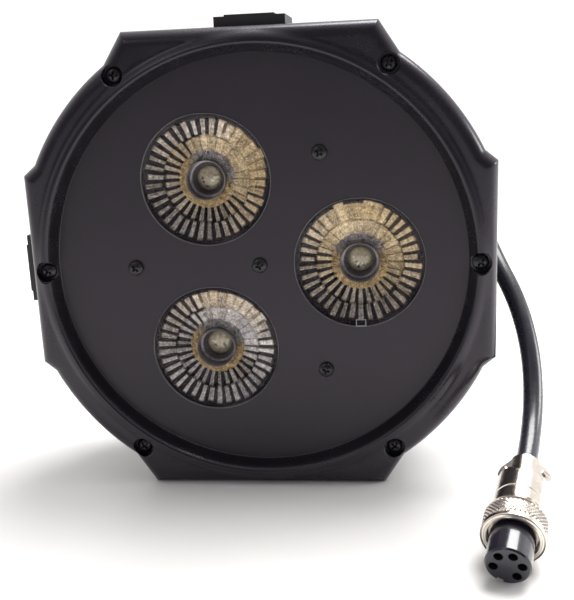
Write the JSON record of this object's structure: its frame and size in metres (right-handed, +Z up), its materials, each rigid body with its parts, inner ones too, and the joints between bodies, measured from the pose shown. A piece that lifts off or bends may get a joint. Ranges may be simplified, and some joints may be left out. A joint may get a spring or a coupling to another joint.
{
  "type": "par can light head",
  "caption": "Flat round stage light head with glass-clear lenses behind a black bezel, threaded bracket bosses on its rim and a cable with a screw-lock connector.",
  "frame": {"origin": "on the flat that the head stands on, below the optical axis, in the plane of the two bracket threads", "axes": "+Z up, the lamp faces -Y, +X is to the right seen from the front"},
  "size_m": [0.179, 0.2165, 0.1609],
  "materials": {
    "bezel_black": "fine moulded satin, black",
    "housing_black": "die-cast aluminium body with fine black paint",
    "panel_black": "flat matt black paint",
    "screw_black": "black oxide steel, slightly shiny",
    "lens_clear": "clear moulded acrylic, polished",
    "holder_black": "moulded black",
    "emitter_cream": "cream phosphor and silicone",
    "board_white": "white solder mask on aluminium",
    "sink_aluminium": "extruded, bare",
    "post_steel": "zinc-plated, turned",
    "brass": "turned, bare",
    "gland_plastic": "moulded nylon, black",
    "soft_black": "matt black rubber",
    "cable_sheath": "smooth glossy black sheath",
    "core_colour": "coloured insulation",
    "block_white": "natural nylon",
    "insert_black": "glossy black moulding",
    "nickel": "satin nickel plating"
  },
  "bodies": {
    "lamp_head": {"front_bezel": "bezel_black", "bezel_screws": "screw_black", "front_panel": "panel_black", "panel_gasket": "soft_black", "panel_screws": "screw_black", "lens_right": "lens_clear", "lens_upper": "lens_clear", "lens_lower": "lens_clear", "lens_holder_right": "holder_black", "lens_holder_upper": "holder_black", "lens_holder_lower": "holder_black", "led_emitter_right": "emitter_cream", "led_emitter_upper": "emitter_cream", "led_emitter_lower": "emitter_cream", "panel_posts": "post_steel", "led_board": "board_white", "heat_sink": "sink_aluminium", "heat_sink_screws": "post_steel", "rear_housing": "housing_black", "bracket_insert_top": "brass", "bracket_insert_side": "brass", "gland_body": "gland_plastic", "gland_lock_nut": "gland_plastic", "gland_seal": "soft_black", "gland_cap": "gland_plastic", "strain_relief": "soft_black", "cable_head_end": "cable_sheath", "terminal_block": "block_white", "inner_cores": "core_colour", "cable": "cable_sheath", "cable_plug_end": "cable_sheath", "plug_insert": "insert_black", "plug_sockets": "brass", "plug_shell": "nickel", "plug_clamp_jaw": "nickel", "plug_clamp_saddle": "nickel", "plug_clamp_screws": "nickel"},
    "washer_body": {"nut_washer": "nickel"},
    "nut_body": {"coupling_nut": "nickel"}
  },
  "joints": [
    {"name": "nut_float", "type": "slide", "parent": "lamp_head", "child": "washer_body", "axis": [0.2447, 0.9362, 0.2521], "range_m": [0, 0.002]},
    {"name": "nut_spin", "type": "hinge", "parent": "washer_body", "child": "nut_body", "pos_m": [0.07485, -0.0854, 0.00639], "axis": [0.2447, 0.9362, 0.2521], "continuous": true}
  ]
}
